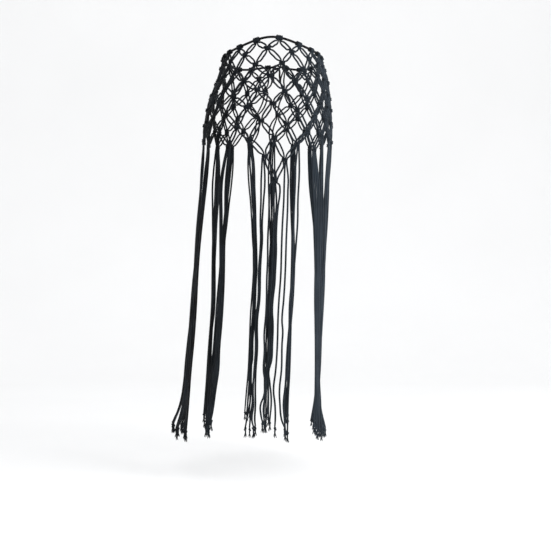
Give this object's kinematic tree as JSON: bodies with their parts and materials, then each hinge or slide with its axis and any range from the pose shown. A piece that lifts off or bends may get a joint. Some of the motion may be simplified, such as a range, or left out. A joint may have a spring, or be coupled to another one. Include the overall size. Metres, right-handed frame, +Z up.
{
  "type": "macrame hip sash, as worn",
  "caption": "Knotted net hip sash with a pointed lower edge and long hanging cords with knotted, frayed ends, in its worn hollow form.",
  "frame": {"origin": "centre of the hip ring, where the wearer's hips hold the holding cord, at the height of its centreline over the side of the hip", "axes": "+Z up, +X to the wearer's front, -Y to the hip with the point, +Y to the hip with the tie"},
  "size_m": [0.312, 0.3775, 0.7585],
  "materials": {
    "net_cord": "smooth dyed cord, soft sheen",
    "tassel_cord": "smooth dyed cord, soft sheen, frayed tips",
    "waist_cord": "smooth dyed cord, soft sheen"
  },
  "bodies": {
    "root": {"holding_cord": "waist_cord", "net_back": "net_cord", "net_front": "net_cord", "tassel_6_m05": "tassel_cord", "tassel_6_m07": "tassel_cord", "tassel_6_m09": "tassel_cord", "tassel_6_m11": "tassel_cord", "tassel_6_m13": "tassel_cord", "tassel_6_m15": "tassel_cord", "tassel_6_m17": "tassel_cord", "tassel_6_m19": "tassel_cord", "tassel_6_p05": "tassel_cord", "tassel_6_p07": "tassel_cord", "tassel_6_p09": "tassel_cord", "tassel_6_p11": "tassel_cord", "tassel_6_p13": "tassel_cord", "tassel_6_p15": "tassel_cord", "tassel_6_p17": "tassel_cord", "tassel_6_p19": "tassel_cord", "tassel_7_m02": "tassel_cord", "tassel_7_m04": "tassel_cord", "tassel_7_p02": "tassel_cord", "tassel_7_p04": "tassel_cord", "tassel_8_m01": "tassel_cord", "tassel_8_p01": "tassel_cord", "tassel_9_p00": "tassel_cord", "tie_knot": "waist_cord"}
  },
  "joints": []
}
